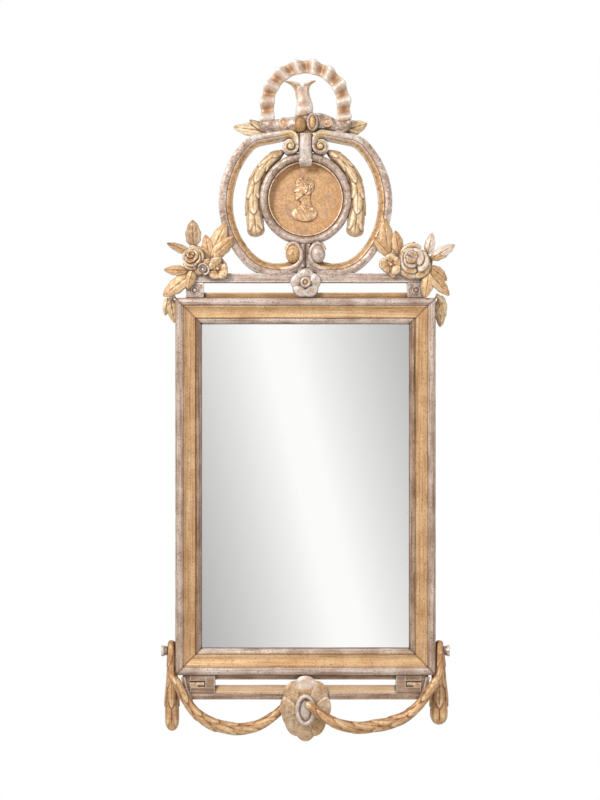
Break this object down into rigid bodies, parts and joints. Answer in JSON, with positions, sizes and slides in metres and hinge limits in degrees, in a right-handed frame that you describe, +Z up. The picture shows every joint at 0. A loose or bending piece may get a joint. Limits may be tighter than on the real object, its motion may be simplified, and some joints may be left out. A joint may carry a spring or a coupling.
{
  "type": "wall mirror",
  "caption": "Carved giltwood wall mirror with a pierced scroll, medallion and ribbon crest, flower sprays, an apron of swags and a patera, and hanging rings behind.",
  "frame": {"origin": "on the wall plane at the centre of the mirror plate, on the rear face of the lower backboard", "axes": "+X to the right as one faces the mirror, +Z up, +Y back towards the wall, the front looks along -Y"},
  "size_m": [0.4998, 0.0772, 1.16],
  "materials": {
    "gilt_wood": "worn gold leaf over bole and gesso on carved softwood",
    "silvered_wood": "worn silver leaf, toned and dirty, over gesso on carved softwood",
    "bare_wood": "old unfinished pine, darkened with age",
    "mirror_plate": "flat silvered glass",
    "iron": "dark wrought iron with light rust"
  },
  "bodies": {
    "mirror": {"apron_base_rail": "gilt_wood", "apron_rail": "silvered_wood", "backboard_lower": "bare_wood", "backboard_nails": "iron", "backboard_upper": "bare_wood", "brace_screws": "iron", "bud_left": "silvered_wood", "crest_base_rail": "gilt_wood", "crest_block_left": "silvered_wood", "crest_block_right": "silvered_wood", "crest_brace": "bare_wood", "crest_rail": "silvered_wood", "crest_rosette": "gilt_wood", "crest_scroll_left": "silvered_wood", "crest_scroll_right": "silvered_wood", "dowels": "bare_wood", "flower_left": "gilt_wood", "flower_right": "gilt_wood", "frame_rail_bottom": "gilt_wood", "frame_rail_top": "gilt_wood", "frame_stile_left": "gilt_wood", "frame_stile_right": "gilt_wood", "fret_block_left": "silvered_wood", "fret_block_right": "silvered_wood", "garland_left": "gilt_wood", "garland_right": "gilt_wood", "glue_blocks": "bare_wood", "hanger_staples": "iron", "laurel_band": "gilt_wood", "laurel_tip_left": "gilt_wood", "laurel_tip_right": "gilt_wood", "medallion_panel": "gilt_wood", "medallion_ring": "silvered_wood", "medallion_strap": "silvered_wood", "mirror_plate": "mirror_plate", "mitre_keys": "bare_wood", "patera": "gilt_wood", "patera_eye": "gilt_wood", "peg_left": "silvered_wood", "peg_right": "silvered_wood", "pendant_left": "gilt_wood", "pendant_right": "gilt_wood", "portrait_relief": "gilt_wood", "ribbon_arch": "gilt_wood", "ribbon_knot": "gilt_wood", "ribbon_tail": "gilt_wood", "rose_left": "gilt_wood", "rose_right": "gilt_wood", "side_drop_left": "gilt_wood", "side_drop_right": "gilt_wood", "sight_slip_bottom": "silvered_wood", "sight_slip_left": "silvered_wood", "sight_slip_right": "silvered_wood", "sight_slip_top": "silvered_wood", "spray_foliage_left": "gilt_wood", "spray_foliage_right": "gilt_wood", "swag_left": "gilt_wood", "swag_right": "gilt_wood"},
    "ring_left": {"hanger_ring_left": "iron"},
    "ring_right": {"hanger_ring_right": "iron"}
  },
  "joints": [
    {"name": "ring_left_swing", "type": "hinge", "parent": "mirror", "child": "ring_left", "pos_m": [-0.21155, 0.00195, 0.176], "axis": [1, 0, 0], "range_deg": [0, 180]},
    {"name": "ring_right_swing", "type": "hinge", "parent": "mirror", "child": "ring_right", "pos_m": [0.21155, 0.00195, 0.176], "axis": [1, 0, 0], "range_deg": [0, 180]}
  ]
}
